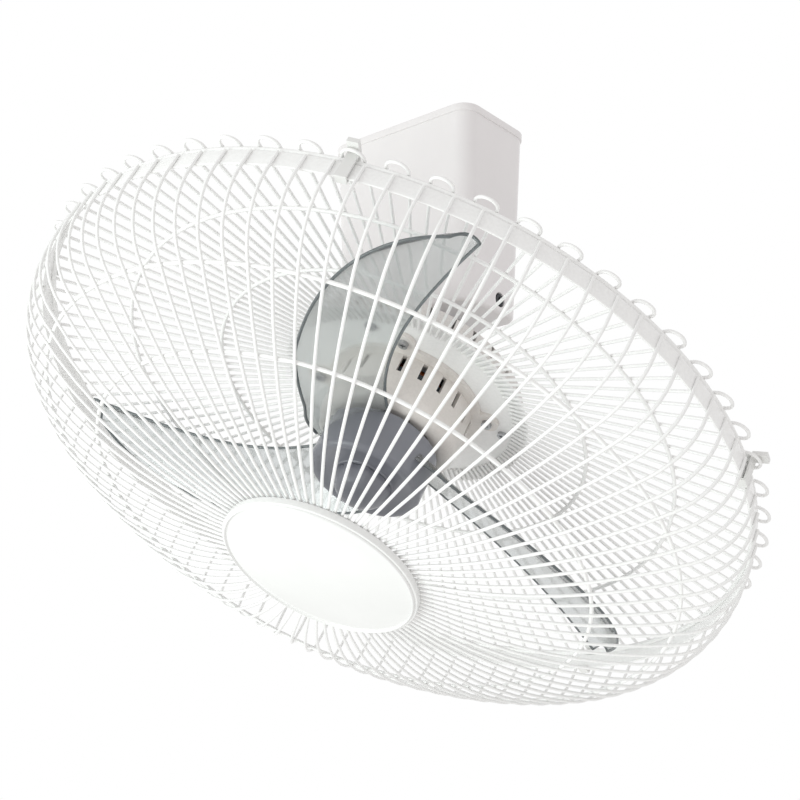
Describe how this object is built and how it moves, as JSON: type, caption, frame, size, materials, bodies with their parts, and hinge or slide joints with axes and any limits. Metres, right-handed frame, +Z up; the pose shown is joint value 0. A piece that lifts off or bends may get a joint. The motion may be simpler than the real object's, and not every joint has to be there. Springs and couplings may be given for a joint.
{
  "type": "orbital ceiling fan",
  "caption": "Caged ceiling fan whose tilted head hangs from a ball joint under a boxed canopy and is led round in a circle by a crank while the blades spin.",
  "frame": {"origin": "centre of the ceiling plate's top face, where the fan meets the ceiling", "axes": "+Z up out of the ceiling plate, +X along the canopy's long side, the fan hangs towards -Z and leans towards -Y at rest"},
  "size_m": [0.4352, 0.398, 0.3309],
  "materials": {
    "galvanised_sheet": "galvanised sheet, dull",
    "black_rubber": "matt black rubber",
    "bolt_steel": "zinc plated",
    "dark_screw_steel": "blackened screw steel",
    "white_gloss_plastic": "smooth white moulding",
    "white_matte_plastic": "fine white moulding",
    "cap_gloss_plastic": "bright white moulding, bare",
    "clip_plastic": "white moulding",
    "cast_alloy": "die cast, as cast",
    "swing_motor_can": "passivated steel can",
    "ivory_plastic": "ivory moulding",
    "crank_acetal": "natural acetal",
    "bearing_bronze": "sintered bronze",
    "ground_steel": "ground steel",
    "white_enamel": "white powder coat",
    "core_steel": "varnished laminations",
    "enamelled_copper": "enamelled copper wire",
    "blade_plastic": "translucent smoke grey moulding",
    "spinner_plastic": "smoke grey moulding"
  },
  "bodies": {
    "mount": {"ceiling_plate": "galvanised_sheet", "cable_grommet": "black_rubber", "hanger_frame": "galvanised_sheet", "frame_rivets": "bolt_steel", "canopy_cover": "white_gloss_plastic", "canopy_screws": "dark_screw_steel", "socket_housing": "cast_alloy", "socket_bolts": "bolt_steel", "socket_retainer": "cast_alloy", "retainer_screws": "bolt_steel", "swing_motor": "swing_motor_can", "swing_motor_screws": "bolt_steel", "terminal_block": "ivory_plastic", "run_capacitor": "ivory_plastic", "capacitor_clip": "galvanised_sheet"},
    "crank": {"crank_disc": "crank_acetal", "crank_bush": "bearing_bronze", "swing_shaft": "ground_steel", "crank_screw": "dark_screw_steel"},
    "rotor": {"motor_shaft": "ground_steel", "rotor_core": "core_steel", "fan_blades": "blade_plastic", "drive_pin": "ground_steel", "spinner_nut": "spinner_plastic"},
    "head": {"pivot_ball": "ground_steel", "guide_pin": "ground_steel", "neck_screws": "dark_screw_steel", "rear_cover": "white_matte_plastic", "rear_cover_screws": "bolt_steel", "rear_end_bell": "cast_alloy", "front_end_bell": "white_enamel", "end_bell_screws": "bolt_steel", "rear_bearing_bush": "bearing_bronze", "front_bearing_bush": "bearing_bronze", "stator_core": "core_steel", "stator_windings": "enamelled_copper", "rear_guard_plate": "white_enamel", "rear_guard_wires": "white_enamel", "rear_guard_hoops": "white_enamel", "front_guard_wires": "white_enamel", "front_guard_hoops": "white_enamel", "front_rim_band": "white_enamel", "front_boss_disc": "white_enamel", "center_cap": "cap_gloss_plastic", "rim_clips": "clip_plastic"}
  },
  "joints": [
    {"name": "orbit_turn", "type": "hinge", "parent": "mount", "child": "crank", "pos_m": [0, 0, -0.138], "axis": [0, 0, 1], "continuous": true},
    {"name": "head_counter_turn", "type": "hinge", "parent": "crank", "child": "head", "pos_m": [0, 0, -0.138], "axis": [0.091, 0.4684, 0.8788], "continuous": true},
    {"name": "fan_spin", "type": "hinge", "parent": "head", "child": "rotor", "pos_m": [-0.00601, -0.03091, -0.196], "axis": [-0.091, -0.4684, -0.8788], "continuous": true}
  ],
  "couplings": [
    {"joint": "head_counter_turn", "follows": "orbit_turn", "ratio": -1}
  ]
}
